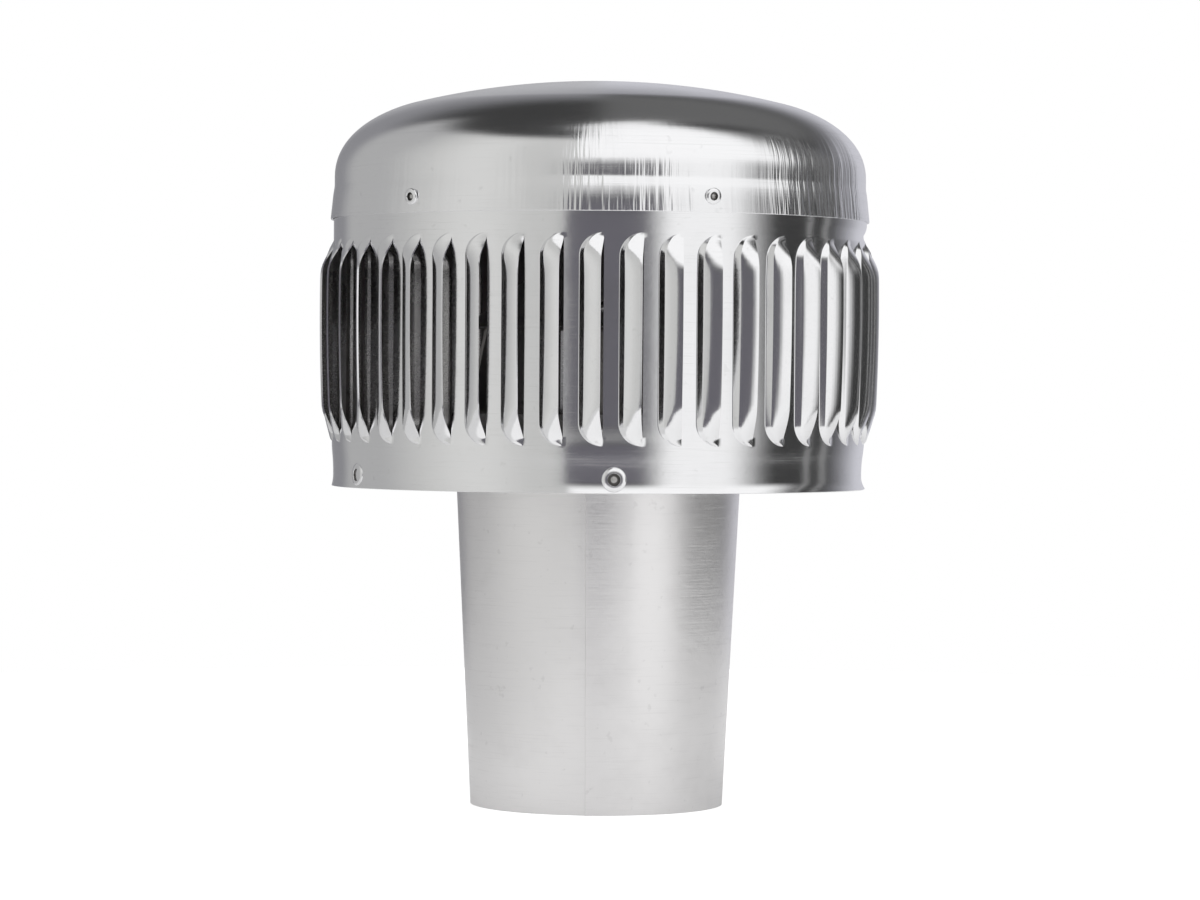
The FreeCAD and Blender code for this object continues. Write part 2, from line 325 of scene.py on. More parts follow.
def placed(
    mesh: bpy.types.Mesh,
    replaced: Sequence[str],
    materials: Sequence[bpy.types.Material],
    crease: float = math.radians(35),
) -> None:
    """Puts a mesh into the scene as a piece of the cap.

    Args:
        mesh: The piece's mesh, in the cap's frame.
        replaced: The frame's nodes that it stands for.
        materials: Its finish, and that of its inner side where the two differ.
        crease: The angle from which an edge shows as sharp.
    """
    mesh.polygons.foreach_set("use_smooth", [True] * len(mesh.polygons))
    mesh.set_sharp_from_angle(angle=crease)
    for material in materials:
        mesh.materials.append(material)
    piece = shown(mesh.name, mesh)
    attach(piece, BODY)
    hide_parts(*replaced)
    log.info("%s: %d faces, stands for %s", piece.name, len(mesh.polygons), ", ".join(replaced))


# Nodes


def grey(level: float, blue: float = 0.0) -> Colour:
    """A grey tone with a little more or less blue."""
    return (level, level, level * (1 + blue))


@dataclass(frozen=True)
class Noise:
    """One kind of noise over a vector."""

    scale: float
    detail: float
    roughness: float = 0.5


class Wiring:
    """Short ways to add and join nodes in one tree. A source is a socket, a number or a colour."""

    def __init__(self, tree: bpy.types.NodeTree) -> None:
        """Works on one tree of nodes."""
        self.tree = tree

    def feed(self, socket: Socket, source: object) -> None:
        """Joins a socket to a source, or sets its value.

        Args:
            socket: The input.
            source: The socket, number or colour that goes into it.
        """
        if isinstance(source, bpy.types.NodeSocket):
            self.tree.links.new(source, socket)
        else:
            socket.default_value = (*source, 1.0) if isinstance(source, tuple) else source

    def node(self, kind: str, fed: Optional[dict] = None, **settings: object) -> Sockets:
        """Adds a node.

        Args:
            kind: Its kind, without the words that every kind starts with.
            fed: The sources of its inputs, by their numbers or names.
            settings: Its settings.

        Returns:
            Its outputs.
        """
        made = self.tree.nodes.new("ShaderNode" + kind)
        for label, value in settings.items():
            setattr(made, label, value)
        for key, source in (fed or {}).items():
            self.feed(made.inputs[key], source)
        return made.outputs

    def group(self, tree: bpy.types.NodeTree, **sources: object) -> Sockets:
        """The outputs of a placed node group."""
        return self.node("Group", sources, node_tree=tree)

    def math(self, operation: str, *sources: object, clamp: bool = False) -> Socket:
        """The result of a number operation on sources."""
        return self.node("Math", dict(enumerate(sources)), operation=operation, use_clamp=clamp)[0]

    def times(self, first: object, second: object) -> Socket:
        """The product of two sources."""
        return self.math("MULTIPLY", first, second)

    def most(self, first: object, second: object) -> Socket:
        """The larger of two sources."""
        return self.math("MAXIMUM", first, second)

    def blend(self, share: object, first: object, second: object) -> Socket:
        """A number blended from the first to the second by a share."""
        return self.node("Mix", {0: share, 2: first, 3: second}, data_type="FLOAT")[0]

    def tint(self, share: object, first: object, second: object) -> Socket:
        """A colour blended from the first to the second by a share."""
        return self.node("Mix", {0: share, 6: first, 7: second}, data_type="RGBA")[2]

    def ramp(self, value: Socket, low: float, high: float) -> Socket:
        """A value mapped smoothly to 0 at the low limit and 1 at the high one."""
        return self.node("MapRange", {0: value, 1: low, 2: high}, interpolation_type="SMOOTHSTEP")[0]

    def window(self, value: Socket, rise: Point, fall: Point) -> Socket:
        """1 where a value is past its rise and before its fall, and 0 outside."""
        return self.times(self.ramp(value, *rise), self.ramp(value, *fall))

    def vector(self, *sources: object) -> Socket:
        """A vector from three sources."""
        return self.node("CombineXYZ", dict(enumerate(sources)))[0]

    def scaled(self, vector: Socket, factor: object) -> Socket:
        """A vector made longer by a factor."""
        return self.node("VectorMath", {0: vector, "Scale": factor}, operation="SCALE")[0]

    def parts(self, vector: Socket) -> Sockets:
        """The three parts of a vector."""
        return self.node("SeparateXYZ", {0: vector})

    def place(self, kind: str = "Object") -> Socket:
        """The place that is shaded."""
        return self.node("TexCoord")[kind]

    def bearing(self, x: Socket, y: Socket) -> Socket:
        """The angle from the front, growing towards +X."""
        return self.math("ARCTAN2", x, self.times(y, -1.0))

    def noise(self, vector: Socket, kind: Noise) -> Socket:
        """Noise over a vector."""
        fed = {"Vector": vector, "Scale": kind.scale, "Detail": kind.detail, "Roughness": kind.roughness}
        return self.node("TexNoise", fed)[0]

    def bump(self, height: Socket, strength: float, depth: float, under: Optional[Socket] = None) -> Socket:
        """A normal from a height.

        Args:
            height: The height, from 0 to 1.
            strength: How much of it shows.
            depth: How deep a full step is.
            under: The normal that it lies on.

        Returns:
            The new normal.
        """
        fed = {"Strength": strength, "Distance": depth, "Height": height}
        if under is not None:
            fed["Normal"] = under
        return self.node("Bump", fed)[0]


def new_group(
    name: str, numbers: Sequence[str], results: Sequence[str], vectors: Sequence[str] = ()
) -> tuple[Wiring, Sockets, Sockets]:
    """An empty group of shader nodes.

    Args:
        name: The group's name.
        numbers: Its number inputs.
        results: Its outputs, which are all numbers.
        vectors: Its vector inputs.

    Returns:
        The group's wiring, what it is given and what it gives.
    """
    tree = bpy.data.node_groups.new(name, "ShaderNodeTree")
    kinds = ((vectors, "INPUT", "Vector"), (numbers, "INPUT", "Float"), (results, "OUTPUT", "Float"))
    for labels, way, kind in kinds:
        for label in labels:
            tree.interface.new_socket(name=label, in_out=way, socket_type="NodeSocket" + kind)
    given = tree.nodes.new("NodeGroupInput").outputs
    return Wiring(tree), given, tree.nodes.new("NodeGroupOutput").inputs


def new_material(name: str) -> tuple[bpy.types.Material, Wiring, Sockets]:
    """Starts a material.

    Args:
        name: The material's name.

    Returns:
        The material, its wiring and its shader's inputs.
    """
    made = bpy.data.materials.new(name)
    made.use_nodes = True
    return made, Wiring(made.node_tree), made.node_tree.nodes["Principled BSDF"].inputs


# Effects that the finishes share

ROUND_PLACE = ("Angle", "Radius", "Height")

FINE_GRAIN = Noise(1.0, 6.0, 0.65)
BROAD_GRAIN = Noise(0.23, 3.0)
BROAD_GRAIN_SHARE = 0.35
DEEP_LINES = (0.52, 0.72)

CLOUDS = Noise(1.0, 4.0, 0.6)
SPECKS = Noise(9.0, 2.0)
DULL_PATCHES = (0.48, 0.72)
SMALL_DINGS = (0.66, 0.74)
PATCH_TONE = 0.6

RIPPLES = Noise(1.0, 2.0, 0.6)
RIPPLE_PATCHES = Noise(0.12, 1.0)
RIPPLE_COUNT = 40.0
RIPPLE_DRIFT = 25.0
PATCH_LAYER = 4.0
RIPPLED_PATCHES = (0.25, 0.55)
RIPPLED_HEIGHTS = ((-0.08, 0.0), (1.0, 0.3))
RIPPLED_FRONT = ((-0.16, -0.06), (0.5, 0.2))
RIPPLED_RIGHT = ((0.6, 0.75), (1.35, 1.15))
RIGHT_GAIN = 2.4
RIPPLED_ELSEWHERE = 0.15


class Effects:
    """The node groups that the finishes share, built once."""

    def __init__(self) -> None:
        """Builds every group."""
        self.round_place = self.build_round_place()
        self.grain = self.build_grain()
        self.handling = self.build_handling()
        self.ripple = self.build_ripple()

    def build_round_place(self) -> bpy.types.NodeTree:
        """The group for the place on the cap.

        Returns:
            The group, which gives the angle round the axis, the distance from it and the height.
        """
        wires, _, results = new_group("round place", (), ROUND_PLACE)
        x, y, z = wires.parts(wires.place())
        squares = wires.math("ADD", wires.times(x, x), wires.times(y, y))
        wires.feed(results["Angle"], wires.bearing(x, y))
        wires.feed(results["Radius"], wires.math("SQRT", squares))
        wires.feed(results["Height"], z)
        return wires.tree

    def build_grain(self) -> bpy.types.NodeTree:
        """The group for fine lines along one direction, as rolling or spinning leaves them.

        Returns:
            The group, which gives a height and a mask of the deeper lines.
        """
        wires, given, results = new_group("sheet grain", ["Fineness"], ["Height", "Lines"], ["Place"])
        scaled = wires.scaled(given["Place"], given["Fineness"])
        fine = wires.noise(scaled, FINE_GRAIN)
        broad = wires.noise(scaled, BROAD_GRAIN)
        wires.feed(results["Height"], wires.blend(BROAD_GRAIN_SHARE, fine, broad))
        wires.feed(results["Lines"], wires.ramp(fine, *DEEP_LINES))
        return wires.tree

    def build_handling(self) -> bpy.types.NodeTree:
        """The group for cloudy smudges, small dings and dull patches from handling.

        Returns:
            The group, which gives a tone, a dullness and a height.
        """
        wires, given, results = new_group("handling", ["Size", "Amount"], ["Tone", "Dullness", "Height"])
        scaled = wires.scaled(wires.place(), given["Size"])
        cloud = wires.noise(scaled, CLOUDS)
        speck = wires.noise(scaled, SPECKS)
        patch = wires.times(wires.ramp(cloud, *DULL_PATCHES), given["Amount"])
        ding = wires.times(wires.ramp(speck, *SMALL_DINGS), given["Amount"])
        wires.feed(results["Tone"], wires.most(wires.times(patch, PATCH_TONE), ding))
        wires.feed(results["Dullness"], patch)
        wires.feed(results["Height"], cloud)
        return wires.tree

    def build_ripple(self) -> bpy.types.NodeTree:
        """The group for upright ripples, as a sheet takes them where it is squeezed round a smaller one.

        Returns:
            The group, which gives a height between two heights of the cap.
        """
        wires, given, results = new_group("ripple", ["Angle", "Height", "From", "To"], ["Height"])
        angle, height, start = given["Angle"], given["Height"], given["From"]
        swing = wires.times(angle, RIPPLE_COUNT)
        drift = wires.times(height, RIPPLE_DRIFT)
        fine = wires.noise(wires.vector(swing, drift, 0.0), RIPPLES)
        broad = wires.noise(wires.vector(swing, drift, PATCH_LAYER), RIPPLE_PATCHES)
        span = wires.math("SUBTRACT", given["To"], start)
        share = wires.math("DIVIDE", wires.math("SUBTRACT", height, start), span)
        right = wires.times(wires.window(angle, *RIPPLED_RIGHT), RIGHT_GAIN)
        squeezed = wires.most(wires.window(angle, *RIPPLED_FRONT), right)
        amount = wires.math("MULTIPLY_ADD", squeezed, 1 - RIPPLED_ELSEWHERE, RIPPLED_ELSEWHERE)
        patches = wires.times(wires.ramp(broad, *RIPPLED_PATCHES), amount)
        patches = wires.times(wires.window(share, *RIPPLED_HEIGHTS), patches)
        wires.feed(results["Height"], wires.times(fine, patches))
        return wires.tree


# Finishes

LINE_WEAR = 0.25
GRAIN_STEP = 0.2 * MM
DENT_STEP = 2.0 * MM
RIPPLE_STEP = 0.6 * MM
UPRIGHT_LINES = 0.1
UPRIGHT_RUN = 10


@dataclass(frozen=True)
class Metal:
    """A bare metal finish. Its grain's lines and run are its rates across its lines and along them."""

    name: str
    colour: Colour
    shade: Colour
    roughness: float
    dull_roughness: float
    lay: Lay = Lay.ROUND
    fineness: float = 1.0
    grain_lines: float = 2600.0
    grain_run: float = 3.0
    grain_depth: float = 0.02
    grain_roughness: float = 0.08
    anisotropy: float = 0.0
    handled: float = 0.4
    handled_size: float = 30.0
    dent_depth: float = 0.0
    ripple_from: float = 0.0
    ripple_to: float = 0.0
    ripple_depth: float = 0.0

    def material(self, effects: Effects) -> bpy.types.Material:
        """The finish as a material.

        Args:
            effects: The shared node groups.

        Returns:
            The material.
        """
        made, wires, shader = new_material(self.name)
        place = wires.group(effects.round_place)
        angle, radius, height = (place[label] for label in ROUND_PLACE)
        round_rate, up_rate = self.grain_run, self.grain_lines
        if self.lay is Lay.UPRIGHT:
            round_rate, up_rate = self.grain_lines * UPRIGHT_LINES, self.grain_run * UPRIGHT_RUN
        up, out = wires.times(height, up_rate), wires.times(radius, up_rate)
        spot = wires.vector(wires.times(angle, round_rate), up, out)
        grain = wires.group(effects.grain, Place=spot, Fineness=self.fineness)
        handled = wires.group(effects.handling, Size=self.handled_size, Amount=self.handled)

        worn = wires.math("ADD", handled["Tone"], wires.times(grain["Lines"], LINE_WEAR), clamp=True)
        rough = wires.blend(handled["Dullness"], self.roughness, self.dull_roughness)
        grained = wires.times(grain["Lines"], self.grain_roughness)
        wires.feed(shader["Base Color"], wires.tint(worn, self.colour, self.shade))
        wires.feed(shader["Roughness"], wires.math("ADD", rough, grained, clamp=True))
        wires.feed(shader["Metallic"], 1.0)

        normal = wires.bump(grain["Height"], self.grain_depth, GRAIN_STEP)
        if self.dent_depth:
            normal = wires.bump(handled["Height"], self.dent_depth, DENT_STEP, normal)
        if self.ripple_depth:
            ends = {"From": self.ripple_from, "To": self.ripple_to}
            ripple = wires.group(effects.ripple, Angle=angle, Height=height, **ends)
            normal = wires.bump(ripple["Height"], self.ripple_depth, RIPPLE_STEP, normal)
        wires.feed(shader["Normal"], normal)
        if self.anisotropy:
            wires.feed(shader["Anisotropic"], self.anisotropy)
            wires.feed(shader["Tangent"], wires.node("Tangent", direction_type="RADIAL", axis="Z")[0])
        return made


DOME_METAL = Metal(
    "spun dome aluminium", (0.88, 0.88, 0.89), (0.72, 0.72, 0.73), 0.17, 0.24,
    grain_lines=3000.0, grain_run=2.0, grain_depth=0.1, anisotropy=0.35, handled=0.3,
    ripple_from=0.2238, ripple_to=0.2600, ripple_depth=0.9,
)
SKIRT_METAL = Metal(
    "bright rolled aluminium", (0.87, 0.87, 0.88), (0.70, 0.70, 0.70), 0.13, 0.2,
    grain_lines=2200.0, grain_run=4.0, grain_depth=0.05, handled=0.25, handled_size=45.0, dent_depth=0.03,
)
COLLAR_METAL = Metal(
    "satin rolled aluminium", (0.84, 0.83, 0.83), (0.71, 0.70, 0.70), 0.3, 0.38,
    grain_lines=1500.0, grain_run=2.5, grain_depth=0.25, grain_roughness=0.12, handled=0.5, dent_depth=0.1,
)
# Painted shade: the inner sides of the dome, drum and collar are the same aluminium as the outer skins, made
# darker for the shade inside the cap.
SHADED_INNER_METAL = Metal(
    "painted shade inner aluminium", (0.42, 0.41, 0.40), (0.26, 0.25, 0.24), 0.4, 0.55,
    grain_lines=1200.0, grain_depth=0.2, handled=0.8,
)
# Painted shade: the louvers' linings are the same sheet as the drum's skin, given a darker colour for the
# shade inside each louver. Their higher roughness is the sheet's own.
LOUVER_SHADE_METAL = Metal(
    "painted shade on louver linings", (0.66, 0.65, 0.65), (0.50, 0.49, 0.49), 0.26, 0.38,
    grain_lines=1600.0, grain_run=4.0, grain_depth=0.08, handled=0.5,
)
DULL_METAL = Metal(
    "dull mill aluminium", (0.74, 0.74, 0.75), (0.55, 0.55, 0.56), 0.38, 0.5,
    grain_lines=1500.0, grain_depth=0.2, handled=0.6,
)
STRAP_METAL = Metal(
    "dull strap aluminium", (0.40, 0.39, 0.38), (0.26, 0.25, 0.24), 0.45, 0.6,
    lay=Lay.UPRIGHT, grain_lines=1200.0, grain_depth=0.2, handled=0.6,
)
RIVET_METAL = Metal(
    "rivet aluminium", (0.88, 0.88, 0.89), (0.66, 0.66, 0.67), 0.16, 0.3,
    fineness=2.0, grain_depth=0.05, handled=0.5, handled_size=220.0,
)
# Painted shade: this dark colour stands for the shade in the rivets' recesses, and also dresses their hidden
# shanks and tails.
RECESS_SHADE_METAL = Metal(
    "painted shade in rivet recesses", (0.15, 0.145, 0.14), (0.07, 0.07, 0.07), 0.4, 0.6,
    fineness=2.0, grain_depth=0.3, handled=0.8, handled_size=400.0,
)
PIN_METAL = Metal(
    "broken pin steel", (0.50, 0.49, 0.48), (0.30, 0.29, 0.28), 0.3, 0.5,
    fineness=2.0, grain_depth=0.3, handled=0.8, handled_size=400.0, dent_depth=0.4,
)


# Sub-assemblies


class SubAssembly(ABC):
    """A part of the cap that is built in one go."""

    @abstractmethod
    def build(self, effects: Effects) -> None:
        """Builds its pieces.

        Args:
            effects: The shared node groups.
        """

    def finishes(self, effects: Effects, *metals: Metal) -> list[bpy.types.Material]:
        """The materials of some finishes."""
        return [metal.material(effects) for metal in metals]


@dataclass
class Dome(SubAssembly):
    """The spun cap, from its apex to the foot of its rim band."""

    apex: float = 277.2 * MM
    crown_radius: float = 297.0 * MM
    crown_edge: float = 73.5 * MM
    shoulder_pull: float = 7.5 * MM
    wall_pull: float = 18.0 * MM
    wall_radius: float = 102.0 * MM
    wall_top: float = 240.4 * MM
    joggle_top: float = 236.5 * MM
    joggle_foot: float = 233.3 * MM
    joggle_step: float = 0.52 * MM
    joggle_bend: float = 0.6 * MM
    band_radius: float = 103.45 * MM
    band_foot: float = 223.8 * MM
    sheet: float = 0.8 * MM
    crown_steps: int = 24
    shoulder_steps: int = 26
    sides: int = 288

    def skin(self) -> list[Point]:
        """The outer skin's section.

        Returns:
            Its points from the apex down.
        """
        edge_angle = math.asin(self.crown_edge / self.crown_radius)
        centre = self.apex - self.crown_radius
        points = [(0.0, self.apex)]
        for angle in evenly(0.0, edge_angle, self.crown_steps)[1:-1]:
            points.append((self.crown_radius * math.sin(angle), centre + self.crown_radius * math.cos(angle)))
        radius, height = self.crown_edge, centre + self.crown_radius * math.cos(edge_angle)
        pull, fall = self.shoulder_pull * math.cos(edge_angle), self.shoulder_pull * math.sin(edge_angle)
        poles = [
            (radius, height),
            (radius + pull, height - fall),
            (self.wall_radius, self.wall_top + self.wall_pull),
            (self.wall_radius, self.wall_top),
        ]
        points += bezier(poles, self.shoulder_steps)
        hem = self.sheet / 2
        corners = [
            (self.wall_radius, self.joggle_top + self.joggle_bend * 2),
            (self.wall_radius, self.joggle_top),
            (self.wall_radius + self.joggle_step, self.joggle_foot),
            (self.band_radius, self.band_foot + hem),
        ]
        points += bent(corners, self.joggle_bend)
        points.append((self.band_radius - hem / 4, self.band_foot))
        return points

    def build(self, effects: Effects) -> None:
        """Builds the dome.

        Args:
            effects: The shared node groups.
        """
        skin = self.skin()
        mesh = turned("dome", sheet_section(skin, self.sheet), even_angles(self.sides), len(skin))
        # The dome's inner side takes the darker finish, which is painted shade.
        placed(mesh, ["dome_cap"], self.finishes(effects, DOME_METAL, SHADED_INNER_METAL))


@dataclass
class Skirt(SubAssembly):
    """The louvered drum, with its flared foot and the lapped seam at the back.

    It isn't quite round. Its sides swell, its neck flares towards the rim band, its foot droops outward
    under a low bulge, and its right side has a notch just under the band. The right side differs from the
    left in how it swells, flares and droops.
    """

    radius: float = 101.0 * MM
    sheet: float = 0.6 * MM
    foot: float = 122.0 * MM
    band_foot: float = 223.8 * MM
    top: float = 232.3 * MM
    neck_foot: float = 198.0 * MM
    neck_flare: float = 1.4 * MM
    right_neck: float = 0.25 * MM
    notch: float = 1.4 * MM
    notch_height: float = 218.3 * MM
    notch_reach: float = 2.0 * MM
    notch_narrowness: int = 4
    side_swell: float = 1.25 * MM
    swell_foot: float = 130.0 * MM
    swell_top: float = 150.0 * MM
    left_share: float = 0.75
    droop_height: float = 4.5 * MM
    droop: float = 0.6 * MM
    right_droop: float = 0.9 * MM
    bulge: float = 0.5 * MM
    bulge_height: float = 138.0 * MM
    bulge_reach: float = 6.0 * MM
    places: int = 44
    first_slit: float = math.radians(0.85)
    blank_place: int = 21
    width: float = 9.0 * MM
    low: float = 138.9 * MM
    high: float = 216.1 * MM
    end_reach: float = 8.4 * MM
    stand_off: float = 5.4 * MM
    crest_height: float = 190.0 * MM
    arch_radius: float = 850.0 * MM
    low_cap: float = 3.5 * MM
    high_cap: float = 15.0 * MM
    high_cap_power: float = 0.8
    slit_low: float = 141.6 * MM
    slit_high: float = 214.4 * MM
    draw: float = 12.0 * MM
    pull_back: float = 1.3 * MM
    fold: float = 0.3 * MM
    flank: float = 1.85 * MM
    knee_share: float = 0.42
    end_knee_share: float = 0.8
    face_start: float = 0.78
    face_bend: float = 0.48
    face_shares: tuple[float, ...] = (0.16, 0.32, 0.48, 0.64, 0.8, 0.9, 1.0)
    fall_power: float = 1.2
    roll_start: float = 0.9
    roll_bend: float = 0.6
    bend: float = 0.28 * MM
    bend_steps: int = 2
    seam_gap_place: float = 3.0 * MM
    seam_gap: float = 0.4 * MM
    seam_lap: float = 12.0 * MM
    seam_foot: float = 134.0 * MM
    seam_depth: float = 0.66 * MM
    seam_columns: int = 4
    foot_rows: int = 20
    louver_rows: int = 44
    top_rows: int = 12
    left_columns: int = 6
    right_columns: int = 2

    def wall(self, height: float, angle: float) -> float:
        """How far the drum's skin is from the axis.

        Args:
            height: Height above the collar's rim.
            angle: Angle from the front.

        Returns:
            The distance.
        """
        to_side = math.sin(angle) ** 2
        to_right = to_side if math.sin(angle) > 0 else 0.0
        neck = ease(height, self.neck_foot, self.band_foot)
        swell = ease(height, self.swell_foot, self.swell_top)
        if not to_right:
            swell = self.left_share + (1 - self.left_share) * swell
        droop = max((self.foot + self.droop_height - height) / self.droop_height, 0.0)
        radius = self.radius + self.neck_flare * (1 - to_side) * neck + self.right_neck * to_right * neck
        radius += self.side_swell * to_side * swell
        radius += self.bulge * hump(height, self.bulge_height, self.bulge_reach)
        notch = self.notch * to_right ** self.notch_narrowness
        radius -= notch * hump(height, self.notch_height, self.notch_reach)
        return radius + droop ** 2 * (self.droop + self.right_droop * to_right)

    def point(self, centre: float, across: float, height: float, lift: float = 0.0) -> Vector:
        """A point on the skin of one louver's place.

        Args:
            centre: The angle of the middle of the place.
            across: Distance from there round the drum.
            height: Height of the point.
            lift: How far it stands out from the drum.

        Returns:
            The point.
        """
        angle = centre + across / self.radius
        return at(self.wall(height, angle) + lift, angle, height)

    def root(self, height: float) -> float:
        """Where a louver's root lies across its place.

        Args:
            height: A height inside the louver's length.

        Returns:
            The distance from the middle of the place.
        """
        slit = self.width / 2
        short = max(self.low + self.end_reach - height, height - self.high + self.end_reach, 0.0)
        return slit - self.width * math.sqrt(max(1 - (short / self.end_reach) ** 2, 0.0))

    def arch(self, height: float) -> float:
        """How far a louver would stand out at a height if its ends weren't closed."""
        past = height - self.crest_height
        return self.stand_off - self.arch_radius + math.sqrt(self.arch_radius ** 2 - past ** 2)

    def crest(self, height: float) -> float:
        """How far a louver's highest line stands out.

        Args:
            height: A height inside the louver's length.

        Returns:
            The distance from the drum.
        """
        low_share = clamped((height - self.low) / self.low_cap)
        high_share = clamped((self.high - height) / self.high_cap)
        low_end = math.sqrt(1 - (1 - low_share) ** 2)
        return self.arch(height) * low_end * (1 - (1 - high_share) ** 2) ** self.high_cap_power

    def opening(self, height: float) -> float:
        """How far a louver is open.

        Args:
            height: A height inside the louver's length.

        Returns:
            The share, from 0 at the slit's ends to 1.
        """
        low_share = clamped((height - self.slit_low) / self.draw)
        high_share = clamped((self.slit_high - height) / self.draw)
        return math.sin(low_share * math.pi / 2) * math.sin(high_share * math.pi / 2)

    def face_rise(self, share: float) -> float:
        """How far a louver's face rises, for one unit of its width.

        Args:
            share: The share of the width that is passed.

        Returns:
            The rise so far.
        """
        even = min(share, self.roll_start)
        rolled = share - even
        slope = self.face_start - self.face_bend * self.roll_start
        even_rise = self.face_start * even - self.face_bend * even ** 2 / 2
        return even_rise + slope * rolled - self.roll_bend * rolled ** 2 / 2

    def louver_section(self, height: float, centre: float) -> list[Point]:
        """A louver's section from root to lip: a steep flank, a knee, a sloping face and a rolled lip.

        Args:
            height: Where it is cut.
            centre: The angle of the middle of its place.

        Returns:
            Distances across and out from the root.
        """
        crest, opening = self.crest(height), self.opening(height)
        lip = min(self.arch(height) * opening, crest)
        knee = min(self.arch(height) * self.knee_share, crest * self.end_knee_share)
        pull_back = self.pull_back * (1 + math.cos(centre)) / 2
        face = self.width - pull_back * opening - self.flank
        corners = [(0.0, 0.0), (self.fold, 0.0), (self.flank, knee)]
        for share in self.face_shares:
            rise = (crest - knee) * self.face_rise(share) / self.face_rise(1.0)
            fall = (crest - lip) * share ** (self.fall_power + opening)
            corners.append((self.flank + face * share, knee + rise - fall))
        return bent(corners, self.bend, self.bend_steps)

    def louver_heights(self) -> list[float]:
        """Heights of the rows along a louver, closer together near its ends."""
        span = self.high - self.low
        return [self.low + span * (1 - math.cos(turn)) / 2 for turn in evenly(0.0, math.pi, self.louver_rows)]

    def wall_heights(self) -> list[float]:
        """Heights of all the rows of the drum, from its foot up."""
        below = evenly(self.foot, self.low, self.foot_rows)[:-1]
        return below + self.louver_heights() + evenly(self.high, self.top, self.top_rows)[1:]

    def louver(self, net: SheetNet, centre: float) -> None:
        """Adds a louver's own skin, whose section narrows and sinks as its root nears the slit.

        Args:
            net: The drum's net.
            centre: The angle of the middle of the place.
        """
        rows = []
        for height in self.louver_heights():
            root = self.root(height)
            size = (self.width / 2 - root) / self.width
            section = self.louver_section(height, centre)
            row = [self.point(centre, root + across * size, height, out * size) for across, out in section]
            rows.append(row)
        net.fill(rows, LOUVER_LINING)

    def place(self, net: SheetNet, centre: float, blank: bool) -> None:
        """Adds one place of the drum, with its louver unless it is the blank one.

        Args:
            net: The drum's net.
            centre: The angle of the middle of the place.
            blank: Whether the seam's gap takes the louver's place.
        """
        edge = self.radius * FULL_TURN / self.places / 2
        left_rows, right_rows = [], []
        for height in self.wall_heights():
            stop, restart = self.width / 2, self.width / 2
            if blank:
                stop, restart = self.seam_gap_place, self.seam_gap_place + self.seam_gap
            elif self.low < height < self.high:
                stop = self.root(height)
            left = evenly(-edge, stop, self.left_columns)
            right = evenly(restart, edge, self.right_columns)
            left_rows.append([self.point(centre, across, height) for across in left])
            right_rows.append([self.point(centre, across, height) for across in right])
        net.fill(left_rows)
        net.fill(right_rows)
        if not blank:
            self.louver(net, centre)

    def seam_ply(self, net: SheetNet, centre: float) -> None:
        """Adds the inner ply behind the seam's gap.

        Args:
            net: The drum's net.
            centre: The angle of the middle of the blank place.
        """
        heights = (self.seam_foot, self.neck_foot, self.band_foot)
        steps = evenly(-self.seam_lap / 2, self.seam_lap / 2, self.seam_columns)
        lift = -self.seam_depth
        net.fill([[self.point(centre, across, height, lift) for across in steps] for height in heights])

    def build(self, effects: Effects) -> None:
        """Builds the drum.

        Args:
            effects: The shared node groups.
        """
        net = SheetNet()
        for place in range(self.places):
            slit = self.first_slit + FULL_TURN * place / self.places
            centre = slit - self.width / self.radius / 2
            self.place(net, centre, place == self.blank_place)
            if place == self.blank_place:
                self.seam_ply(net, centre)
        mesh = net.thickened("louvered_drum", self.sheet)
        # The drum's inner side and the louvers' linings take darker finishes as painted shade.
        metals = self.finishes(effects, SKIRT_METAL, SHADED_INNER_METAL, LOUVER_SHADE_METAL)
        placed(mesh, ["louvered_skirt"], metals)


@dataclass
class Collar(SubAssembly):
    """The tapered sleeve and its lapped seam."""

    foot_radius: float = 48.5 * MM
    taper: float = 0.0492
    height: float = 150.0 * MM
    sheet: float = 0.6 * MM
    lap_angle: float = math.radians(-5.0)
    lap_reach: float = math.radians(17.0)
    lap_edge: float = math.radians(0.25)
    lap_rise: float = 0.55 * MM
    crease: float = math.radians(25)
    rows: int = 30
    sides: int = 240

    def swell(self, angle: float, height: float) -> float:
        """How far the lap stands out.

        Args:
            angle: Angle from the front.
            height: Not used, as the lap is the same all the way up.

        Returns:
            The distance from the sleeve.
        """
        past = (angle - self.lap_angle) % FULL_TURN
        if past < self.lap_edge:
            return self.lap_rise * past / self.lap_edge
        return self.lap_rise * (1 - ease(past, self.lap_edge, self.lap_reach))

    def build(self, effects: Effects) -> None:
        """Builds the collar.

        Args:
            effects: The shared node groups.
        """
        heights = [self.height * (1 - row / self.rows) for row in range(self.rows + 1)]
        skin = [(self.foot_radius + self.taper * height, height) for height in heights]
        angles = sorted(even_angles(self.sides, self.lap_angle + self.lap_edge) + [self.lap_angle])
        mesh = turned("collar_sleeve", sheet_section(skin, self.sheet), angles, len(skin), self.swell)
        # The collar's inner side takes the darker finish, which is painted shade.
        placed(mesh, ["collar"], self.finishes(effects, COLLAR_METAL, SHADED_INNER_METAL), self.crease)


@dataclass
class Pan(SubAssembly):
    """The pressed ring that closes the drum's foot and carries the collar."""

    outer_radius: float = 100.2 * MM
    inner_radius: float = 55.95 * MM
    foot: float = 122.6 * MM
    outer_flange: float = 9.5 * MM
    inner_flange: float = 13.0 * MM
    sheet: float = 0.8 * MM
    bend: float = 1.6 * MM
    sides: int = 216

    def build(self, effects: Effects) -> None:
        """Builds the pan.

        Args:
            effects: The shared node groups.
        """
        corners = [
            (self.outer_radius, self.foot + self.outer_flange),
            (self.outer_radius, self.foot),
            (self.inner_radius, self.foot),
            (self.inner_radius, self.foot + self.inner_flange),
        ]
        section = sheet_section(bent(corners, self.bend), self.sheet)
        mesh = turned("base_ring", section, even_angles(self.sides))
        placed(mesh, ["base_pan"], self.finishes(effects, DULL_METAL))


